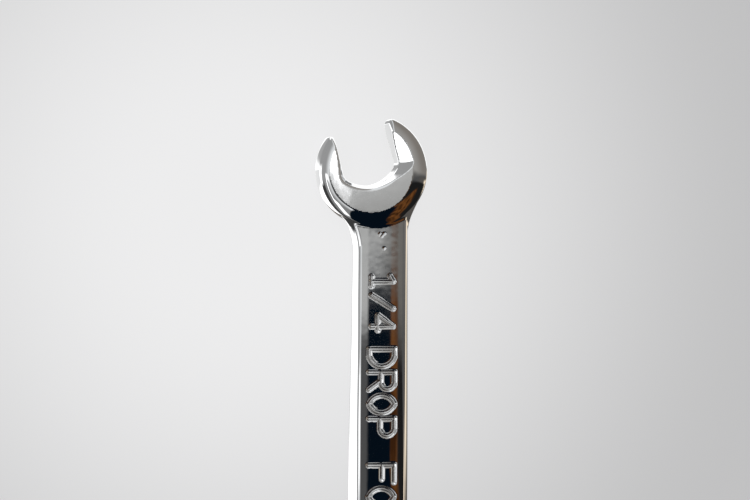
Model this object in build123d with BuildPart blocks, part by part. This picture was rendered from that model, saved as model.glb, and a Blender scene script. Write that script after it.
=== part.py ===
"""A 1/4 inch combination wrench: an open end and a 12-point box end on one chrome-plated forging.

Frame: millimetres, origin at the centre of the box socket, +X along the shank to the open end,
+Z up with the marked face on top, lying as it rests on a bench. The forging is one piece of steel,
so the nodes are its named regions, which meet face to face and never overlap.
"""

import math
import os

from build123d import *

# The size of the wrench and its overall proportions
SIZE = 6.4  # across flats at both ends: 6.35 mm nut plus clearance
CENTRES = 97.0  # box socket centre to open-end head centre, along X
HEAD_Y = 1.1  # the open-end head sits this far off the shank's centreline
END_ANGLE = 15.0  # the open jaw turns, and the box end tilts, by this much

# Open-end head: a crowned disc with a slot
HEAD_R = 6.07
HEAD_T = 3.5
HEAD_FLAT_R = 4.4  # the face is flat out to here, then falls away
RIM_T = 2.45
RIM_EDGE = 0.3
THROAT_R = 4.2
THROAT_CENTRE = 2.65  # along the opening's axis, from the head's centre
TIP_REACH = 4.95  # along the opening's axis, where the jaws' tips are trimmed
SLOT_OFFSET = 0.25  # the slot stands this far off the head's centre, so one jaw is the slimmer

# Box-end head: a ring round a 12-point socket
RING_R = 4.95
RING_T = 4.8
RING_EDGE = 0.8
MOUTH_R = 4.0
MOUTH_SLOPE = 0.6  # depth of the mouth's lead-in for each millimetre inwards

# Shank
FACE_HALF = 2.4  # half the width of the flat face that holds the marks
NECK_HALF = 3.05
BODY_HALF = 3.3
NECK_T = 2.45
BODY_T = 3.4
NECK_LENGTH = 9.2  # from the open-end head's centre to the start of the panels
TAPER_END = 35.0  # from the open-end head's centre to full thickness
BOX_NECK = 9.0  # from the box socket's centre to the end of the panels
RIGHT_BLEND = 1.8  # radius where the head runs into the shank's right edge
FLARE_HALF = 3.85  # how wide the left edge has flared where it meets the head
BOX_NECK_REACH = 3.9  # from the box socket's centre, where the neck ends inside the ring
BOX_NECK_HALF = 3.0
BOX_NECK_T = 4.2
PANEL_FLOOR = 0.88  # height of the panels' inner face over the shank's middle plane

# Marks, sunk into the front panel, read from the open end towards the box end
MARK_DEPTH = 0.25
STROKE = 0.44
SIZE_START = 11.3  # from the open-end head's centre
WORD_START = 19.45
SIZE_HEIGHT = 2.4
WORD_HEIGHT = 2.85
SIZE_PITCH = 2.25
SIZE_WIDTH = 1.6
WORD_PITCH = 2.53
WORD_WIDTH = 1.9
FAR_SIZE_START = 74.5

tilt = math.radians(END_ANGLE)
ring_edge_r = RING_R - RING_EDGE
ring_edge_z = RING_T / 2 - RING_EDGE
REST_Z = -(ring_edge_z * math.cos(tilt) + ring_edge_r * math.sin(tilt)) - RING_EDGE
MID_Z = REST_Z + HEAD_T / 2
SPLIT_X = CENTRES - NECK_LENGTH
TAPER_X = CENTRES - TAPER_END

socket_plane = Plane(
    origin=(0, 0, 0),
    x_dir=(math.cos(tilt), 0, -math.sin(tilt)),
    z_dir=(math.sin(tilt), 0, math.cos(tilt)),
)
ring_section = Plane(
    origin=(0, 0, 0),
    x_dir=(math.cos(tilt), 0, -math.sin(tilt)),
    z_dir=(0, -1, 0),
)
head_plane = Plane(origin=(CENTRES, HEAD_Y, MID_Z))
head_section = Plane(origin=(CENTRES, HEAD_Y, MID_Z), x_dir=(1, 0, 0), z_dir=(0, -1, 0))
jaw_plane = Plane(
    origin=(CENTRES - SLOT_OFFSET * math.sin(tilt), HEAD_Y + SLOT_OFFSET * math.cos(tilt), MID_Z),
    x_dir=(math.cos(tilt), math.sin(tilt), 0),
    z_dir=(0, 0, 1),
)


def blend_points(radius, edge, blend):
    """Where an arc that blends a circle into a line parallel to X starts, passes and ends.

    The circle is about the origin and the line is at y = edge. Each point is (distance, y).
    """
    reach = math.sqrt((radius + blend) ** 2 - (edge + blend) ** 2)
    share = radius / (radius + blend)
    on_circle = (reach * share, (edge + blend) * share)
    on_line = (reach, edge)
    chord = (on_circle[0] + on_line[0]) / 2 - reach, (on_circle[1] + on_line[1]) / 2 - edge - blend
    scale = blend / math.hypot(*chord)
    middle = (reach + chord[0] * scale, edge + blend + chord[1] * scale)
    return on_circle, middle, on_line


# ---- The bar between the two necks, from which the shank and its two panels are taken ----
with BuildPart() as bar:
    for x, half, thick in ((SPLIT_X, NECK_HALF, NECK_T), (TAPER_X, BODY_HALF, BODY_T)):
        with BuildSketch(Plane.YZ.offset(x).shift_origin((x, 0, MID_Z))):
            RectangleRounded(2 * half, thick, half - FACE_HALF)
    loft()
    with BuildSketch(Plane.YZ.offset(TAPER_X).shift_origin((TAPER_X, 0, MID_Z))):
        RectangleRounded(2 * BODY_HALF, BODY_T, BODY_HALF - FACE_HALF)
    extrude(amount=BOX_NECK - TAPER_X)

with BuildPart() as shank:
    add(bar.part)
    split(bisect_by=Plane.XY.offset(MID_Z + PANEL_FLOOR), keep=Keep.BOTTOM)
    split(bisect_by=Plane.XY.offset(MID_Z - PANEL_FLOOR), keep=Keep.TOP)

with BuildPart() as back_panel:
    add(bar.part)
    split(bisect_by=Plane.XY.offset(MID_Z - PANEL_FLOOR), keep=Keep.BOTTOM)


# ---- Front panel, with its marks ----
# Each character is a list of strokes in a cell 1 wide and 1 high, from its lower left corner.
# A stroke of two points is straight, and one of three is an arc through the middle point.
CHARACTERS = {
    " ": [],
    "1": [((0.2, 0), (0.8, 0)), ((0.5, 0), (0.5, 1)), ((0.5, 1), (0.15, 0.85))],
    "/": [((0.05, 0), (0.95, 1))],
    "4": [((0.75, 0), (0.75, 1)), ((0.75, 1), (0, 0.3)), ((0, 0.3), (1, 0.3))],
    "D": [((0, 0), (0, 1)), ((0, 1), (0.4, 1)), ((0, 0), (0.4, 0)), ((0.4, 1), (1, 0.5), (0.4, 0))],
    "R": [
        ((0, 0), (0, 1)),
        ((0, 1), (0.6, 1)),
        ((0, 0.46), (0.6, 0.46)),
        ((0.6, 1), (0.97, 0.73), (0.6, 0.46)),
        ((0.5, 0.46), (1, 0)),
    ],
    "O": [((0.5, 1), (0, 0.5), (0.5, 0)), ((0.5, 0), (1, 0.5), (0.5, 1))],
    "P": [
        ((0, 0), (0, 1)),
        ((0, 1), (0.6, 1)),
        ((0, 0.43), (0.6, 0.43)),
        ((0.6, 1), (0.97, 0.715), (0.6, 0.43)),
    ],
    "F": [((0, 0), (0, 1)), ((0, 1), (1, 1)), ((0, 0.52), (0.8, 0.52))],
    "G": [
        ((0.95, 0.84), (0.5, 1), (0.02, 0.5)),
        ((0.02, 0.5), (0.5, 0), (1, 0.3)),
        ((1, 0.3), (1, 0.48)),
        ((1, 0.48), (0.6, 0.48)),
    ],
    "E": [((0, 0), (0, 1)), ((0, 1), (1, 1)), ((0, 0.5), (0.8, 0.5)), ((0, 0), (1, 0))],
}


def face_plane(x):
    """The plane on the front face at x, whose own +X runs along the writing to the box end."""
    slope = (NECK_T - BODY_T) / 2 / (SPLIT_X - TAPER_X) if x > TAPER_X else 0.0
    height = MID_Z + BODY_T / 2 + slope * (x - TAPER_X)
    return Plane(origin=(x, 0, height), x_dir=(-1, 0, -slope), z_dir=(-slope, 0, 1))


def sink(text, start, pitch, width, height):
    """Cut text into the face, its first character's near side start from the head's centre."""
    for place, character in enumerate(text):
        plane = face_plane(CENTRES - start - place * pitch).offset(-MARK_DEPTH)
        for stroke in CHARACTERS[character]:
            points = [(u * width, (v - 0.5) * height) for u, v in stroke]
            with BuildLine(mode=Mode.PRIVATE) as path:
                if len(points) == 2:
                    Line(*points)
                else:
                    ThreePointArc(*points)
            with BuildSketch(plane, mode=Mode.PRIVATE) as groove:
                SlotArc(path.edges()[0], STROKE)
            extrude(groove.sketch, amount=2 * MARK_DEPTH, mode=Mode.SUBTRACT)


with BuildPart() as front_panel:
    add(bar.part)
    split(bisect_by=Plane.XY.offset(MID_Z + PANEL_FLOOR), keep=Keep.TOP)
    for start in (SIZE_START, FAR_SIZE_START):
        sink("1/4", start, SIZE_PITCH, SIZE_WIDTH, SIZE_HEIGHT)
    sink("DROP FORGED", WORD_START, WORD_PITCH, WORD_WIDTH, WORD_HEIGHT)


# ---- Open-end head: a crowned disc with its slot, and the neck down to the panels ----
right_circle, right_middle, right_line = blend_points(HEAD_R, NECK_HALF + HEAD_Y, RIGHT_BLEND)
flare_reach = math.sqrt(HEAD_R**2 - (FLARE_HALF - HEAD_Y) ** 2)


def neck_point(distance, across):
    """A point of the neck's outline, from its distance below the head's centre and across it."""
    return (CENTRES - distance, HEAD_Y + across)


with BuildPart() as neck:
    with BuildSketch(Plane.XY.offset(MID_Z - NECK_T / 2)):
        with BuildLine():
            right_start = neck_point(right_line[0], -right_line[1])
            right_end = neck_point(right_circle[0], -right_circle[1])
            left_end = (CENTRES - flare_reach, FLARE_HALF)
            Line((SPLIT_X, NECK_HALF), (SPLIT_X, -NECK_HALF))
            Line((SPLIT_X, -NECK_HALF), right_start)
            ThreePointArc(right_start, neck_point(right_middle[0], -right_middle[1]), right_end)
            Line(right_end, neck_point(0, 0))
            Line(neck_point(0, 0), left_end)
            TangentArc((SPLIT_X, NECK_HALF), left_end, tangent=(1, 0))
        make_face()
    extrude(amount=NECK_T)
    along = edges().filter_by(Axis.Z, reverse=True)
    outside = along.filter_by(lambda edge: abs(edge.center().Y) > NECK_HALF - RIM_EDGE)
    fillet(outside, radius=NECK_HALF - FACE_HALF)

with BuildPart() as open_end_head:
    with BuildSketch(head_section):
        with BuildLine():
            crown = HEAD_T / 2
            fall = (HEAD_T - RIM_T) / 2
            reach = HEAD_R - HEAD_FLAT_R
            crown_r = (reach**2 + fall**2) / (2 * fall)
            Line((0, crown), (HEAD_FLAT_R, crown))
            RadiusArc((HEAD_FLAT_R, crown), (HEAD_R, RIM_T / 2), crown_r)
            Line((HEAD_R, RIM_T / 2), (HEAD_R, -RIM_T / 2))
            RadiusArc((HEAD_R, -RIM_T / 2), (HEAD_FLAT_R, -crown), crown_r)
            Line((HEAD_FLAT_R, -crown), (0, -crown))
            Line((0, -crown), (0, crown))
        make_face()
        fillet(vertices().group_by(Axis.X)[-1], radius=RIM_EDGE)
    revolve(axis=Axis(head_plane.origin, (0, 0, 1)))
    add(neck.part)
    with BuildSketch(jaw_plane.offset(-HEAD_T)):
        with BuildLine():
            half = SIZE / 2
            corner = THROAT_CENTRE - math.sqrt(THROAT_R**2 - half**2)
            ThreePointArc((corner, -half), (THROAT_CENTRE - THROAT_R, 0), (corner, half))
            Line((corner, half), (TIP_REACH, half))
            Line((TIP_REACH, half), (TIP_REACH, -half))
            Line((TIP_REACH, -half), (corner, -half))
        make_face()
        with Locations((TIP_REACH + HEAD_R / 2, 0)):
            Rectangle(HEAD_R, 2 * HEAD_R)
    extrude(amount=2 * HEAD_T, mode=Mode.SUBTRACT)


# ---- Box-end head: the ring, its neck and its 12-point socket ----
neck_end = Plane(
    origin=(BOX_NECK_REACH * math.cos(tilt), 0, -BOX_NECK_REACH * math.sin(tilt)),
    x_dir=(0, 1, 0),
    z_dir=(math.cos(tilt), 0, -math.sin(tilt)),
)

with BuildPart() as box_end_head:
    with BuildSketch(ring_section):
        with Locations((RING_R / 2, 0)):
            Rectangle(RING_R, RING_T)
        fillet(vertices().group_by(Axis.X)[-1], radius=RING_EDGE)
    revolve(axis=Axis((0, 0, 0), socket_plane.z_dir))
    with BuildSketch(Plane.YZ.offset(BOX_NECK).shift_origin((BOX_NECK, 0, MID_Z))):
        RectangleRounded(2 * BODY_HALF, BODY_T, BODY_HALF - FACE_HALF)
    with BuildSketch(neck_end):
        RectangleRounded(2 * BOX_NECK_HALF, BOX_NECK_T, BODY_HALF - FACE_HALF)
    loft()
    with BuildSketch(socket_plane.offset(-RING_T)):
        for turn in (0, 30):
            RegularPolygon(SIZE / 2, 6, major_radius=False, rotation=turn)
    extrude(amount=2 * RING_T, mode=Mode.SUBTRACT)
    with BuildSketch(ring_section):
        for side in (1, -1):
            with BuildLine():
                face = side * RING_T / 2
                bottom = face - side * MOUTH_R * MOUTH_SLOPE
                Polyline((0, face), (MOUTH_R, face), (0, bottom), close=True)
            make_face()
    revolve(axis=Axis((0, 0, 0), socket_plane.z_dir), mode=Mode.SUBTRACT)


# ---- One file per region ----
os.makedirs("parts", exist_ok=True)
open_end_head.part.label = "open_end_head"
export_step(open_end_head.part, "parts/open_end_head.step")
shank.part.label = "shank"
export_step(shank.part, "parts/shank.step")
box_end_head.part.label = "box_end_head"
export_step(box_end_head.part, "parts/box_end_head.step")
front_panel.part.label = "front_panel"
export_step(front_panel.part, "parts/front_panel.step")
back_panel.part.label = "back_panel"
export_step(back_panel.part, "parts/back_panel.step")
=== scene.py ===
"""The looks of a 1/4 inch combination wrench: one polished, chrome-plated forging.

Each piece is meshed from a formula for the forging's surface, signed distances in millimetres, and is
cut off at the same planes as its CAD node. The frame gives the places, and meshes are in metres.
"""

import math

import bmesh
import bpy
import numpy as np
import openvdb
from mathutils import Matrix, Vector


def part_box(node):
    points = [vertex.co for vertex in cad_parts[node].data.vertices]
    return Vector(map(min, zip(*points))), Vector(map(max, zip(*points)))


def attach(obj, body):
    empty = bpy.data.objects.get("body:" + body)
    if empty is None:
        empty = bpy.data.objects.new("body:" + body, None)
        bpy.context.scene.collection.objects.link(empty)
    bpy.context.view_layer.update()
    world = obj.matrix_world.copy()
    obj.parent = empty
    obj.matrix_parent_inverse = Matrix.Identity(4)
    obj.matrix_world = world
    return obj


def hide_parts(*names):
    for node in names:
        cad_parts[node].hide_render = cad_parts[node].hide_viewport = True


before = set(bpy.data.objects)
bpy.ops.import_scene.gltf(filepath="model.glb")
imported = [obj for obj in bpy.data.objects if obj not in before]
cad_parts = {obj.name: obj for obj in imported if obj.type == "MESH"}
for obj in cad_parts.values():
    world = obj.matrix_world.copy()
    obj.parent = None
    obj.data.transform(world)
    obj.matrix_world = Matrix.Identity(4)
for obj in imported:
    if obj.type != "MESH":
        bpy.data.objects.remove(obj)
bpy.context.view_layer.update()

MM = 0.001

# ---- Places and sizes, from the frame where it has them ----


def node_box(name):
    """The lowest and highest corner of a CAD node, in millimetres."""
    low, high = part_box(name)
    return np.array(low) / MM, np.array(high) / MM


head_low, head_high = node_box("open_end_head")
ring_low, ring_high = node_box("box_end_head")
shank_low, shank_high = node_box("shank")

NECK_LENGTH = 9.2  # from the head's centre to the end of the head's node
HEAD_X = head_low[0] + NECK_LENGTH
HEAD_Y = (head_low[1] + head_high[1]) / 2
HEAD_R = (head_high[1] - head_low[1]) / 2
HEAD_HALF = (head_high[2] - head_low[2]) / 2
MID_Z = (head_low[2] + head_high[2]) / 2
REST_Z = head_low[2]
NECK_X = head_low[0]
RING_NECK_X = ring_high[0]
RING_R = ring_high[1]
PANEL_FLOOR = shank_high[2] - MID_Z
END_ANGLE = math.radians(15)
COS, SIN = math.cos(END_ANGLE), math.sin(END_ANGLE)

# Both openings
ACROSS_FLATS = 6.4
# The open-end head
FLAT_R = 4.65  # where the head's face starts to fall away to its rim
FLAT_SHIFT = 0.4  # and how much further out that is towards +Y
RIM_HALF = 1.22  # half the thickness left at its rim
TIP_THIN = 0.1  # how much thinner the rim is on each face at the jaws
CROWN_START = 0.08  # slope of the fall where it starts
DOME = 0.0003  # how fast the face falls from its middle
THROAT_R = 4.2
THROAT_A = 2.65  # the throat's centre, along the slot's axis from the head's centre
TIP_REACH = 4.95  # where the jaws end, along the same axis
TIP_ROUND = 0.12
SLOT_OFFSET = 0.25  # the slot stands this far off the head's centre, so the jaws differ
THROAT_CHAMFER = 0.45
JAW_CHAMFER = 0.1
TIP_CHAMFER = 0.25  # added where the slot's edges end at the jaws' tips
BEVEL_SLOPE = 0.45  # of the worn bevel along the right-hand jaw's inner edge
BEVEL_WIDTH = 1.6
BEVEL_LOW, BEVEL_LENGTH = -0.4, 4.3  # where it is widest, and how far it runs from there to the tip
HEAD_BLEND = 0.3  # rounding where the neck runs into the head, near the faces
SIDE_BLEND, RIGHT_BLEND = 0.3, 1.3  # added at mid-thickness: on both sides, and on the right-hand side only
# The ring
RING_HALF = 2.4  # half its height along its own axis
RING_EDGE = 0.9  # rounding of its outer edges
MOUTH_R = 4.0  # of the chamfered mouth of the socket, at the ring's face
MOUTH_SLOPE = 0.6
RING_BLEND, TOP_BLEND = 0.9, 1.3  # where the neck meets the ring, and added towards the top
# The shank
FACE_HALF = 2.4  # half the width of the nearly flat face
NECK_HALF = 3.05  # half the width at the open end
BODY_HALF = 3.27  # and past the taper
NECK_HALF_T = 1.22  # half the thickness at the open end
BODY_HALF_T = 1.68  # and past the taper
TAPER_START = 6.0  # from the head's centre
TAPER_LENGTH = 31.4
FLARE_R = 8.87  # of the left side's sweep into the head
FACE_SAG = 0.11  # how far the face falls from its middle to its edge
FACE_EDGE = 0.16  # rounding between the face and the side
SIDE_BULGE = 0.57  # most the rounded side stands out, as a share of the half-thickness

# Marks
MARK_DEPTH = 0.22
DIMPLES = ((6.95, 0.35), (7.15, 0.1), (6.9, -0.15), (8.5, -0.15))  # from the head's centre, and Y
DIMPLE_R, DIMPLE_DEPTH = 0.17, 0.05
STROKE_HALF = 0.2  # from a stroke's centreline to the middle of its wall
WALL = 0.2  # width of a mark's sloped wall


def smooth_max(a, b, k):
    """The larger of two distances, rounded where they are within k of each other."""
    near = np.maximum(k - np.abs(a - b), 0) / k
    return np.maximum(a, b) + near * near * k / 4


def smooth_min(a, b, k):
    """The smaller of two distances, rounded in the same way."""
    return -smooth_max(-a, -b, k)


def ease(t):
    """A soft step from 0 to 1 as t goes from 0 to 1."""
    t = np.clip(t, 0, 1)
    return t * t * (3 - 2 * t)


# ---- The marks: strokes in a cell 1 wide and 1 high, two points straight and three an arc ----
CHARACTERS = {
    " ": [],
    "1": [((0.2, 0), (0.8, 0)), ((0.5, 0), (0.5, 1)), ((0.5, 1), (0.15, 0.85))],
    "/": [((0.05, 0), (0.95, 1))],
    "4": [((0.75, 0), (0.75, 1)), ((0.75, 1), (0, 0.3)), ((0, 0.3), (1, 0.3))],
    "D": [((0, 0), (0, 1)), ((0, 1), (0.4, 1)), ((0, 0), (0.4, 0)), ((0.4, 1), (1, 0.5), (0.4, 0))],
    "R": [
        ((0, 0), (0, 1)),
        ((0, 1), (0.6, 1)),
        ((0, 0.46), (0.6, 0.46)),
        ((0.6, 1), (0.97, 0.73), (0.6, 0.46)),
        ((0.5, 0.46), (1, 0)),
    ],
    "O": [((0.5, 1), (0, 0.5), (0.5, 0)), ((0.5, 0), (1, 0.5), (0.5, 1))],
    "P": [
        ((0, 0), (0, 1)),
        ((0, 1), (0.6, 1)),
        ((0, 0.43), (0.6, 0.43)),
        ((0.6, 1), (0.97, 0.715), (0.6, 0.43)),
    ],
    "F": [((0, 0), (0, 1)), ((0, 1), (1, 1)), ((0, 0.52), (0.8, 0.52))],
    "G": [
        ((0.95, 0.84), (0.5, 1), (0.02, 0.5)),
        ((0.02, 0.5), (0.5, 0), (1, 0.3)),
        ((1, 0.3), (1, 0.48)),
        ((1, 0.48), (0.6, 0.48)),
    ],
    "E": [((0, 0), (0, 1)), ((0, 1), (1, 1)), ((0, 0.5), (0.8, 0.5)), ((0, 0), (1, 0))],
}
# text, distance of its start from the head's centre, pitch, width, height
LINES = (
    ("1/4", 11.3, 2.25, 1.6, 2.4),
    ("DROP FORGED", 19.45, 2.53, 1.9, 2.85),
    ("1/4", 74.5, 2.25, 1.6, 2.4),
)


def circle_through(a, b, c):
    """Centre and radius of the circle through three points."""
    m = 2 * np.array([b - a, c - a])
    centre = np.linalg.solve(m, np.array([b @ b - a @ a, c @ c - a @ a]))
    return centre, np.hypot(*(a - centre))


def mark_strokes():
    """Every stroke as its points in the row's X and Y. Writing runs along -X, with its top at -Y."""
    for text, start, pitch, width, height in LINES:
        for place, character in enumerate(text):
            for stroke in CHARACTERS[character]:
                yield [
                    np.array([HEAD_X - start - place * pitch - u * width, (0.5 - v) * height])
                    for u, v in stroke
                ]


STROKES = list(mark_strokes())


def stroke_distance(x, y, points):
    """Distance from a stroke's centreline."""
    if len(points) == 2:
        a, b = points
        along = b - a
        t = np.clip(((x - a[0]) * along[0] + (y - a[1]) * along[1]) / (along @ along), 0, 1)
        return np.hypot(x - a[0] - t * along[0], y - a[1] - t * along[1])
    a, b, c = points
    centre, radius = circle_through(a, b, c)
    middle = b - centre
    half = math.acos(np.clip((a - centre) @ middle / radius**2, -1, 1))
    angle = np.arctan2(
        middle[0] * (y - centre[1]) - middle[1] * (x - centre[0]),
        middle[0] * (x - centre[0]) + middle[1] * (y - centre[1]),
    )
    ends = np.minimum(np.hypot(x - a[0], y - a[1]), np.hypot(x - c[0], y - c[1]))
    return np.where(np.abs(angle) < half, np.abs(np.hypot(x - centre[0], y - centre[1]) - radius), ends)


def sunk(x, y):
    """How far into a mark a point of the face is: 1 on a mark's floor, 0 on the face."""
    x, y = np.broadcast_arrays(x, y)
    distance = np.full(x.shape, 9.0)
    for points in STROKES:
        span = np.array(points)
        low, high = span.min(0) - 1, span.max(0) + 1
        near = (x > low[0]) & (x < high[0]) & (y > low[1]) & (y < high[1])
        if near.any():
            distance[near] = np.minimum(distance[near], stroke_distance(x[near], y[near], points))
    depth = (STROKE_HALF + WALL / 2 - distance) / WALL
    return smooth_min(smooth_max(depth, 0, 0.3), 1, 0.3)


# ---- The forging ----
def shank_shape(x):
    """Half-width on each side and half-thickness of the shank at x."""
    t = ease((HEAD_X - TAPER_START - x) / TAPER_LENGTH)
    # a slight unevenness, on the left side only
    wave = 0.02 * np.sin(0.37 * x + 0.8) + 0.004 * np.sin(0.93 * x)
    flare = np.clip(x - NECK_X, 0, 4.5) ** 2 / (2 * FLARE_R)
    right = NECK_HALF + (BODY_HALF - NECK_HALF) * t
    left = right + flare + wave * ease((NECK_X - 1 - x) / 6)
    return left, right, NECK_HALF_T + (BODY_HALF_T - NECK_HALF_T) * t


def bar(x, y, z, marks=False):
    """The shank and both necks: two nearly flat faces and two rounded sides, ending inside the head."""
    left, right, half_t = shank_shape(x)
    half = np.where(y > 0, left, right)
    w = np.abs(z - MID_Z)
    bulge = np.minimum(half, BODY_HALF) - FACE_HALF
    bulge = np.minimum(bulge, SIDE_BULGE * half_t)
    side_r = (bulge**2 + half_t**2) / (2 * bulge)
    centre = half - side_r
    side = np.hypot(np.maximum(np.abs(y) - centre, 0), w) - side_r
    top = half_t - FACE_SAG * (y / FACE_HALF) ** 2
    if marks:
        top = top - np.where(z > MID_Z, MARK_DEPTH * sunk(x, y), 0)
    body = smooth_max(side, w - top, FACE_EDGE)
    return np.maximum(body, x - (HEAD_X - 2.5))


def dimples(x, y):
    """Depth of the tiny round stamps on the neck."""
    depth = 0.0
    for start, across in DIMPLES:
        depth = depth + DIMPLE_DEPTH * ease(1.2 - np.hypot(x - HEAD_X + start, y - across) / DIMPLE_R)
    return depth


def jaw_place(x, y):
    """A point along the slot's axis and across it."""
    u, v = x - HEAD_X, y - HEAD_Y
    return u * COS + v * SIN, v * COS - u * SIN - SLOT_OFFSET


def slot(x, y):
    """Negative inside the open jaw's slot."""
    a, b = jaw_place(x, y)
    throat = np.hypot(np.minimum(a - THROAT_A, 0), b) - THROAT_R
    return smooth_max(np.abs(b) - ACROSS_FLATS / 2, throat, 0.4)


def head(x, y, z):
    """The open-end head as a solid disc with crowned faces, before its slot is cut."""
    u, v, w = x - HEAD_X, y - HEAD_Y, np.abs(z - MID_Z)
    r = np.hypot(u, v)
    flat = FLAT_R + FLAT_SHIFT * v / np.maximum(r, 1)
    rim = RIM_HALF - TIP_THIN * ease(0.4 + u / 3)
    fall = HEAD_HALF - rim - DOME * HEAD_R**2 - CROWN_START * (HEAD_R - flat)
    crown_r = ((HEAD_R - flat) ** 2 + fall**2) / (2 * fall)
    over = np.clip(r - flat, 0, HEAD_R + 0.2 - flat)
    top = HEAD_HALF - DOME * r**2 - CROWN_START * over - (crown_r - np.sqrt(crown_r**2 - over**2))
    return smooth_max(w - top, r - HEAD_R + 0.03 * w**2, 0.12)


def open_end(x, y, z):
    """The neck and the head with its slot, whose edges are chamfered and worn."""
    at_middle = SIDE_BLEND + RIGHT_BLEND * ease((1.5 - y) / 3)
    blend = HEAD_BLEND + at_middle * ease(1.3 - np.abs(z - MID_Z))
    neck = bar(x, y, z) + np.where(z > MID_Z, dimples(x, y), 0)
    body = smooth_min(neck, head(x, y, z), blend)
    a, b = jaw_place(x, y)
    body = smooth_max(body, a - TIP_REACH, TIP_ROUND)
    wall = -slot(x, y)
    # wide round the throat, thin along the jaws and a little wider again at their tips
    chamfer = JAW_CHAMFER + (THROAT_CHAMFER - JAW_CHAMFER) * ease((3.0 - a) / 3.5)
    chamfer = chamfer + TIP_CHAMFER * ease((a - 3.2) / 1.6)
    slope_cut = (body + wall + chamfer) * math.sqrt(0.5)
    # the worn bevel, which narrows towards the tip and fades out round the throat
    along = np.maximum(a - BEVEL_LOW, 0) / BEVEL_LENGTH
    width = BEVEL_WIDTH * (1 - along**3) * ease((a - BEVEL_LOW + 2.2) / 2.6)
    bevel = np.abs(z - MID_Z) - HEAD_HALF + BEVEL_SLOPE * (width + wall)
    body = smooth_max(body, np.where(b < 0, bevel, -1), 0.03)
    return smooth_max(smooth_max(body, wall, 0.1), slope_cut, 0.12)


def ring(x, y, z):
    """The ring, solid, about its tilted axis."""
    out, up = x * COS - z * SIN, np.abs(x * SIN + z * COS)
    r = np.hypot(out, y)
    face = up - RING_HALF + 0.012 * np.maximum(r - 3, 0) ** 2
    return smooth_max(face, r - RING_R + 0.02 * up**2, RING_EDGE)


def socket(x, y, z):
    """Negative inside the 12-point socket and its mouths."""
    out, up = x * COS - z * SIN, np.abs(x * SIN + z * COS)
    hexagons = []
    for turn in (0, 30):
        flats = [math.radians(turn + 60 * i) for i in range(3)]
        across = [np.abs(out * math.cos(t) + y * math.sin(t)) for t in flats]
        hexagons.append(np.maximum(np.maximum(across[0], across[1]), across[2]) - ACROSS_FLATS / 2)
    star = smooth_min(hexagons[0], hexagons[1], 0.08)
    cone = (np.hypot(out, y) - MOUTH_R + (RING_HALF - up) / MOUTH_SLOPE) / math.hypot(1, 1 / MOUTH_SLOPE)
    return np.minimum(star, cone)


def box_end(x, y, z):
    """The ring on its neck, cut level where it rests."""
    # the bar has no end of its own here, so it is stopped inside the ring
    neck = np.maximum(bar(x, y, z), 3 - x)
    blend = RING_BLEND + TOP_BLEND * ease((z - MID_Z + 1) / 2)
    body = smooth_min(neck, ring(x, y, z), blend)
    body = smooth_max(body, -socket(x, y, z), 0.16)
    return smooth_max(body, REST_Z - z, 0.1)


def marked_bar(x, y, z):
    """The bar with the marks sunk into its upper face."""
    return bar(x, y, z, marks=True)


# ---- From a formula to a mesh ----
def slope(field, points):
    """The field's gradient at each point."""
    step = 0.004
    parts = []
    for axis in range(3):
        shift = np.zeros(3)
        shift[axis] = step
        ahead, behind = points + shift, points - shift
        parts.append(field(*ahead.T) - field(*behind.T))
    return np.stack(parts, 1) / (2 * step)


def surface(field, low, high, voxel):
    """Vertices and quads of the surface where field is 0, inside a box."""
    axes = [np.arange(a, b + voxel, voxel) for a, b in zip(low, high)]
    values = field(*np.meshgrid(*axes, indexing="ij", sparse=True)) / voxel
    grid = openvdb.FloatGrid(background=3.0)
    grid.copyFromArray(np.clip(values, -3, 3).astype(np.float32))
    points, quads = grid.convertToQuads(0.0)
    points = np.asarray(low) + points.astype(float) * voxel
    for _ in range(3):
        d, g = field(*points.T), slope(field, points)
        size = (g * g).sum(1)
        near = np.abs(d) < voxel * np.sqrt(size)
        points[near] -= (g * (d / np.maximum(size, 1e-6))[:, None])[near]
    return points, quads


def piece(name, field, low, high, voxel, cuts, material, marked):
    """A piece of the forging: field's surface in a box, cut off at planes (point, outward normal)."""
    points, quads = surface(field, np.array(low), np.array(high), voxel)
    mesh = bpy.data.meshes.new(name)
    mesh.vertices.add(len(points))
    mesh.vertices.foreach_set("co", points.ravel())
    mesh.loops.add(quads.size)
    mesh.loops.foreach_set("vertex_index", quads.ravel().astype(np.int32))
    mesh.polygons.add(len(quads))
    mesh.polygons.foreach_set("loop_start", np.arange(0, quads.size, 4, dtype=np.int32))
    mesh.update(calc_edges=True)
    shape = bmesh.new()
    shape.from_mesh(mesh)
    for point, normal in cuts:
        everything = shape.verts[:] + shape.edges[:] + shape.faces[:]
        bmesh.ops.bisect_plane(
            shape, geom=everything, dist=1e-6, plane_co=point, plane_no=normal, clear_outer=True
        )
        rim = [edge for edge in shape.edges if edge.is_boundary]
        made = bmesh.ops.holes_fill(shape, edges=rim, sides=0)
        for face in made["faces"]:
            face.material_index = 1
    shape.to_mesh(mesh)
    shape.free()
    finish_mesh(mesh, field, marked)
    mesh.materials.append(material)
    thing = bpy.data.objects.new(name, mesh)
    bpy.context.scene.collection.objects.link(thing)
    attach(thing, "root")
    return thing


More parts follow.
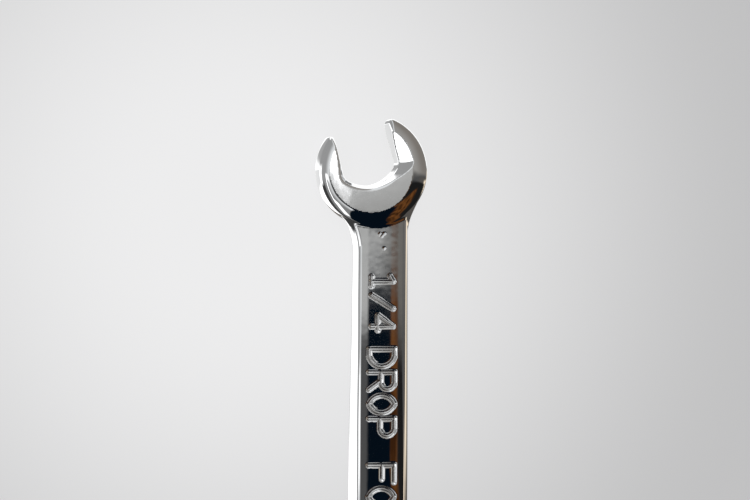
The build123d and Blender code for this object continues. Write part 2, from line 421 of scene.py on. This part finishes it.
def finish_mesh(mesh, field, marked):
    """Exact normals from the formula on the skin, flat ones on the cut faces, and metres."""
    points = np.empty(len(mesh.vertices) * 3)
    mesh.vertices.foreach_get("co", points)
    points = points.reshape(-1, 3)
    normals = slope(field, points)
    normals /= np.linalg.norm(normals, axis=1)[:, None]
    corner = np.empty(len(mesh.loops), np.int32)
    mesh.loops.foreach_get("vertex_index", corner)
    corner_normals = normals[corner]
    for face in mesh.polygons:
        if face.material_index == 1:
            corner_normals[face.loop_start : face.loop_start + face.loop_total] = face.normal
            face.material_index = 0
    if marked:
        values = sunk(points[:, 0], points[:, 1]).astype(np.float32)
        mesh.attributes.new("sunk", "FLOAT", "POINT").data.foreach_set("value", values)
    mesh.vertices.foreach_set("co", (points * MM).ravel())
    mesh.polygons.foreach_set("use_smooth", np.ones(len(mesh.polygons), bool))
    mesh.update()
    mesh.normals_split_custom_set(corner_normals)


# ---- Node helpers ----
class Nodes:
    """A node tree, with one short call for each kind of node that is used."""

    def __init__(self, tree):
        self.tree = tree
        tree.nodes.clear()

    def add(self, kind, *links, **settings):
        node = self.tree.nodes.new(kind)
        for key, value in settings.items():
            setattr(node, key, value)
        for place, value in enumerate(links):
            self.put(node, place, value)
        return node

    def put(self, node, place, value):
        """Sets an input to a plain value, or joins it to another node's output."""
        if value is None:
            return
        if hasattr(value, "is_output"):
            self.tree.links.new(value, node.inputs[place])
        else:
            node.inputs[place].default_value = value

    def math(self, operation, a, b=None, c=None):
        return self.add("ShaderNodeMath", a, b, c, operation=operation).outputs[0]

    def step(self, value, low, high):
        """0 up to low and 1 from high on, soft between; low above high falls instead."""
        node = self.add("ShaderNodeMapRange", interpolation_type="SMOOTHSTEP")
        turned = low > high
        ends = (high, low, 1, 0) if turned else (low, high, 0, 1)
        for place, number in enumerate((value, *ends)):
            self.put(node, place, number)
        return node.outputs[0]

    def mix(self, share, a, b):
        node = self.add("ShaderNodeMix", data_type="RGBA")
        for name, value in (("Factor", share), ("A", a), ("B", b)):
            socket = [s for s in node.inputs if s.name == name and s.enabled][0]
            if hasattr(value, "is_output"):
                self.tree.links.new(value, socket)
            else:
                socket.default_value = value
        return [s for s in node.outputs if s.enabled][0]

    def noise(self, where, scale, detail=2.0, roughness=0.5):
        node = self.add("ShaderNodeTexNoise")
        self.put(node, "Vector", where)
        self.put(node, "Scale", scale)
        self.put(node, "Detail", detail)
        self.put(node, "Roughness", roughness)
        return node.outputs["Fac"]

    def panel(self, below, colour, *edges):
        """A soft-edged panel over what is below it: each edge is (value, where it is 0, where it is 1)."""
        share = self.step(*edges[0])
        for edge in edges[1:]:
            share = self.math("MULTIPLY", share, self.step(*edge))
        return self.mix(share, below, colour)


def grey(level):
    return (level, level, level, 1)


# ---- The chrome ----
def chrome():
    """Polished chrome plate: a mirror with a faint orange peel, fine scratches and frosted mark floors."""
    material = bpy.data.materials.new("polished_chrome")
    material.use_nodes = True
    n = Nodes(material.node_tree)
    where = n.add("ShaderNodeTexCoord").outputs["Object"]
    peel = n.noise(where, 900.0, 1.0)
    smudge = n.noise(where, 260.0, 3.0, 0.6)
    along = n.add("ShaderNodeMapping", where)
    n.put(along, "Scale", (60.0, 2600.0, 2600.0))
    scratch = n.noise(along.outputs[0], 1.0, 2.0, 0.7)
    floors = n.add("ShaderNodeAttribute", attribute_name="sunk").outputs["Fac"]
    grain = n.noise(where, 9000.0, 2.0)

    shader = n.add("ShaderNodeBsdfPrincipled")
    shader.inputs["Metallic"].default_value = 1.0
    tint = n.mix(n.step(smudge, 0.35, 0.75), (0.70, 0.705, 0.71, 1), (0.655, 0.66, 0.665, 1))
    n.put(shader, "Base Color", n.mix(floors, tint, (0.60, 0.60, 0.60, 1)))
    worn = n.math("MULTIPLY_ADD", n.step(smudge, 0.45, 0.8), 0.035, 0.03)
    n.put(shader, "Roughness", n.math("MULTIPLY_ADD", floors, 0.18, worn))

    bump = n.add("ShaderNodeBump")
    n.put(bump, "Strength", 0.02)
    n.put(bump, "Distance", 0.00005)
    height = n.math("MULTIPLY_ADD", scratch, 0.15, peel)
    n.put(bump, "Height", n.math("ADD", height, n.math("MULTIPLY", grain, floors)))
    n.put(shader, "Normal", bump.outputs[0])
    out = n.add("ShaderNodeOutputMaterial")
    n.put(out, 0, shader.outputs[0])
    return material


# ---- The pieces ----
def forging(material):
    """All five pieces, each in the place of its CAD node."""
    top, bottom = MID_Z + PANEL_FLOOR, MID_Z - PANEL_FLOOR
    margin = 0.3
    side = BODY_HALF + margin
    shank_ends = [((NECK_X, 0, 0), (1, 0, 0)), ((RING_NECK_X, 0, 0), (-1, 0, 0))]
    long_low, long_high = RING_NECK_X - margin, NECK_X + margin
    # each node's formula, the box it is meshed in, the size of its voxels and its cut planes
    specs = {
        "open_end_head": (
            open_end,
            (NECK_X - margin, HEAD_Y - HEAD_R - margin, REST_Z - margin),
            (HEAD_X + TIP_REACH + 2, HEAD_Y + HEAD_R + margin, 2 * MID_Z - REST_Z + margin),
            0.1,
            [((NECK_X, 0, 0), (-1, 0, 0))],
        ),
        "box_end_head": (
            box_end,
            (-RING_R - 1, -RING_R - margin, REST_Z - margin),
            (RING_NECK_X + margin, RING_R + margin, -REST_Z + margin),
            0.09,
            [((RING_NECK_X, 0, 0), (1, 0, 0))],
        ),
        "shank": (
            bar,
            (long_low, -side, bottom - margin),
            (long_high, side, top + margin),
            0.14,
            shank_ends + [((0, 0, top), (0, 0, 1)), ((0, 0, bottom), (0, 0, -1))],
        ),
        "front_panel": (
            marked_bar,
            (long_low, -side, top - margin),
            (long_high, side, MID_Z + BODY_HALF_T + margin),
            0.08,
            shank_ends + [((0, 0, top), (0, 0, -1))],
        ),
        "back_panel": (
            bar,
            (long_low, -side, MID_Z - BODY_HALF_T - margin),
            (long_high, side, bottom + margin),
            0.14,
            shank_ends + [((0, 0, bottom), (0, 0, 1))],
        ),
    }
    for node, (field, low, high, voxel, cuts) in specs.items():
        marked = field is marked_bar
        thing = piece(node + "_forged", field, low, high, voxel, cuts, material, marked)
        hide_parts(node)


forging(chrome())


# ---- The camera ----
TILT = math.radians(13)  # from straight above towards +Y
ROLL = math.radians(0.6)
DISTANCE = 219.3
AIM_RIGHT, AIM_DOWN = 0.403, 8.707  # where it points, from the head's centre, in the picture's directions


def photo_camera():
    """The camera at the photograph's angle, with +X up in the picture and +Y to its left."""
    toward = Vector((0, math.sin(TILT), math.cos(TILT)))
    flat_right = Vector((0, -math.cos(TILT), math.sin(TILT)))
    flat_up = Vector((1, 0, 0))
    up = flat_up * math.cos(ROLL) - flat_right * math.sin(ROLL)
    right = flat_up * math.sin(ROLL) + flat_right * math.cos(ROLL)
    aim = Vector((HEAD_X, HEAD_Y, MID_Z)) + AIM_RIGHT * right - AIM_DOWN * up
    lens = bpy.data.cameras.new("camera")
    lens.lens = 60
    lens.sensor_width = 22.5
    lens.clip_start = 0.01
    lens.clip_end = 10
    camera = bpy.data.objects.new("camera", lens)
    turn = Matrix((right, up, toward)).transposed().to_4x4()
    camera.matrix_world = Matrix.Translation((aim + DISTANCE * toward) * MM) @ turn
    bpy.context.scene.collection.objects.link(camera)
    bpy.context.scene.camera = camera
    bpy.context.scene.view_settings.view_transform = "Standard"


photo_camera()


# ---- The floor ----
POOL_X, POOL_Y = -4.6, 15.5  # the middle of the floor's painted pool of light: from the head's centre along X, and its Y
FLOOR_GAP = 0.02  # between the floor and the wrench


def pale_floor():
    """A pale floor, mostly glowing by itself as painted light, brightest in a painted pool of light round
    the wrench and greyer further out, so that only a faint shadow shows.
    """
    material = bpy.data.materials.new("pale_floor")
    material.use_nodes = True
    n = Nodes(material.node_tree)
    where = n.add("ShaderNodeNewGeometry").outputs["Position"]
    middle = ((HEAD_X + POOL_X) * MM, POOL_Y * MM, REST_Z * MM)
    away = n.add("ShaderNodeVectorMath", where, middle, operation="DISTANCE").outputs["Value"]
    # painted light: the floor's glow is brightest in a pool round the wrench and falls to grey further out
    painted_pool = n.mix(n.step(away, 0.008, 0.066), (0.79, 0.79, 0.795, 1), (0.48, 0.48, 0.485, 1))
    glow = n.add("ShaderNodeEmission", painted_pool, 1.0)
    plain = n.add("ShaderNodeBsdfDiffuse", grey(0.12))
    shader = n.add("ShaderNodeAddShader", glow.outputs[0], plain.outputs[0])
    out = n.add("ShaderNodeOutputMaterial")
    n.put(out, 0, shader.outputs[0])
    mesh = bpy.data.meshes.new("floor")
    shape = bmesh.new()
    bmesh.ops.create_circle(shape, cap_ends=True, radius=3.0, segments=96)
    shape.to_mesh(mesh)
    shape.free()
    mesh.materials.append(material)
    floor = bpy.data.objects.new("floor", mesh)
    floor.location = (HEAD_X * MM / 2, 0, (REST_Z - FLOOR_GAP) * MM)
    floor.visible_glossy = False
    bpy.context.scene.collection.objects.link(floor)


pale_floor()


# ---- The light: a soft studio, as a mirror lying on the floor sees it ----
class Directions:
    """Where a direction points. x, y and z are its parts, and the rest are in degrees.

    A level mirror shows the camera the direction where left, tip and off are 0. left is turned from there
    towards +Y, tip is turned towards +X, and off is the whole angle.
    """

    def __init__(self, n):
        degrees = 180 / math.pi
        self.whole = n.add("ShaderNodeTexCoord").outputs["Generated"]
        self.x, self.y, self.z = n.add("ShaderNodeSeparateXYZ", self.whole).outputs
        turned = n.math("ARCTAN2", self.y, self.z)
        self.left = n.math("MULTIPLY_ADD", turned, degrees, math.degrees(TILT))
        self.tip = n.math("MULTIPLY", n.math("ARCSINE", self.x), degrees)
        mirror_line = (0, -math.sin(TILT), math.cos(TILT))
        along = n.add("ShaderNodeVectorMath", self.whole, mirror_line, operation="DOT_PRODUCT")
        self.off = n.math("MULTIPLY", n.math("ARCCOSINE", along.outputs["Value"]), degrees)


def broad_light(n, d):
    """Bright towards +Y, dim towards -Y, and greyer where the left side of the neck looks."""
    bright = n.mix(n.step(d.left, 10, 50), (1.03, 1.05, 1.06, 1), grey(0.42))
    shade = n.mix(n.step(d.left, -15, -48), (0.43, 0.415, 0.395, 1), (0.28, 0.255, 0.23, 1))
    light = n.mix(n.step(d.left, -5, 4.5), shade, bright)
    return n.panel(light, grey(0.3), (d.tip, -9, -26), (d.left, 8, 14))


def face_light(n, d, light):
    """What the shank's nearly flat face mirrors, apart from the dark shape."""
    low = n.mix(n.step(d.left, -11, 5), (0.19, 0.18, 0.165, 1), (0.55, 0.55, 0.54, 1))
    light = n.panel(light, low, (d.tip, 3.0, 0.6), (d.tip, -14, -9), (d.left, 17, 13), (d.left, -30, -14))
    # a dark strip along the face's left edge, and white on the edge itself
    light = n.panel(
        light, grey(0.1), (d.left, 4, 6), (d.left, 20, 16), (d.tip, 0.4, -0.3), (d.tip, -12, -9)
    )
    light = n.panel(
        light, grey(1.6), (d.left, 20, 28), (d.left, 46, 38), (d.tip, -0.5, -1.5), (d.tip, -7, -5)
    )
    # dark on its right edge, and on the right of the head and neck
    return n.panel(light, grey(0.1), (d.left, -11, -16), (d.left, -60, -48), (d.tip, 3.2, -1.0))


def side_light(n, d, light):
    """What the steep places mirror: the sides, the slot's edges and the walls of the marks."""
    # the wedge along the left-hand jaw
    glint = n.math("MULTIPLY_ADD", d.left, -2.0, d.tip)
    light = n.panel(light, grey(2.2), (glint, -1.1, -0.9), (d.tip, 3.4, 3.0), (d.left, 0.9, 1.15))
    # dark on the left of the neck, then white all along the left side
    light = n.panel(light, grey(0.06), (d.left, 60, 68), (d.tip, -8, -20))
    light = n.panel(light, grey(2.0), (d.left, 76, 86), (d.tip, 12, 4), (d.tip, -20, -14))
    # the throat's edge, the jaws' tips and the walls of the marks
    light = n.panel(light, grey(2.0), (d.off, 77, 83), (d.tip, 42, 50))
    light = n.panel(light, grey(1.6), (d.left, -66, -72), (d.left, -110, -98), (d.tip, 6, 10))
    # upright walls, which look down past the horizon
    light = n.panel(light, grey(0.45), (d.z, -0.3, -0.6), (d.x, 0.03, 0.15))
    light = n.panel(light, grey(1.6), (d.z, -0.3, -0.6), (d.x, -0.02, 0.05), (d.y, 0.06, -0.02))
    # the inner wall of the right-hand jaw, lit to match the floor
    return n.panel(
        light, grey(0.95), (d.z, -0.3, -0.6), (d.left, 170, 175), (d.x, 0.05, 0.03), (d.x, -0.105, -0.09)
    )


def rim_light(n, d, light):
    """White on the worn bevel and the crown's left shoulder, and dim then cream on the right side."""
    light = n.panel(
        light, grey(2.4), (d.left, 41.5, 43), (d.left, 47.5, 46), (d.tip, 0, -3), (d.tip, -38, -32)
    )
    light = n.panel(
        light, grey(2.0), (d.left, 28, 33), (d.left, 46, 42.5), (d.tip, -25, -29), (d.tip, -56, -50)
    )
    dim = (0.12, 0.11, 0.1, 1)
    light = n.panel(light, dim, (d.left, -24, -40), (d.left, -168, -155), (d.tip, 0.5, -2))
    cream = (1.3, 1.1, 0.85, 1)
    light = n.panel(light, cream, (d.left, -72, -80), (d.left, -120, -105), (d.tip, -8, -4), (d.tip, 6, 3))
    return n.panel(light, cream, (d.left, -44, -49), (d.left, -80, -60), (d.tip, -18, -13), (d.tip, -2, -6))


def dark_shape(n, d, light):
    """The dark shape that the neck and the shank's face mirror, with a brown streak near its right edge."""
    slant = n.math("MAXIMUM", n.math("MULTIPLY_ADD", d.tip, -0.8, -4.0), 0.0)
    streak = n.math("ADD", d.left, slant)
    steep = n.math("MAXIMUM", n.math("MULTIPLY", n.math("ADD", d.tip, 14.0), -0.6), 0.0)
    spread = n.math("SUBTRACT", d.left, steep)
    top = n.math("MULTIPLY", n.math("MINIMUM", n.math("ADD", d.left, 8.0), 0.0), 0.17)
    below = n.math("SUBTRACT", d.tip, top)
    inner = n.math("MULTIPLY_ADD", d.tip, -0.31, d.left)
    navy = (0.002, 0.006, 0.012, 1)
    grain = n.step(n.noise(d.whole, 14.0, 3.0), 0.35, 0.65)
    brown = n.mix(grain, (0.05, 0.018, 0.006, 1), (0.2, 0.075, 0.02, 1))

    light = n.panel(light, navy, (below, 0.8, 0.55), (spread, 8, 6.3), (streak, -9, -7))
    light = n.panel(light, grey(0.015), (below, 1.0, -0.9), (streak, -6, -9), (d.left, -58, -46))
    # the streak in the shank's face, then in the neck
    light = n.panel(
        light, brown, (below, 0.9, 0.3), (d.tip, -12, -8), (streak, -4.2, -5.2), (streak, -9, -7.6)
    )
    return n.panel(light, brown, (d.tip, -7, -9), (d.tip, -56, -46), (inner, -6, -10), (d.left, -35, -28))


def studio():
    """The world: light by direction for the chrome, and plain grey where the camera sees past the floor."""
    world = bpy.data.worlds.new("studio")
    bpy.context.scene.world = world
    world.use_nodes = True
    n = Nodes(world.node_tree)
    d = Directions(n)
    light = broad_light(n, d)
    for add_light in (face_light, side_light, rim_light, dark_shape):
        light = add_light(n, d, light)
    shader = n.add("ShaderNodeBackground", light, 1.0)
    seen = n.add("ShaderNodeBackground", grey(0.56), 1.0)
    camera_ray = n.add("ShaderNodeLightPath").outputs["Is Camera Ray"]
    either = n.add("ShaderNodeMixShader", camera_ray, shader.outputs[0], seen.outputs[0])
    out = n.add("ShaderNodeOutputWorld")
    n.put(out, 0, either.outputs[0])


studio()
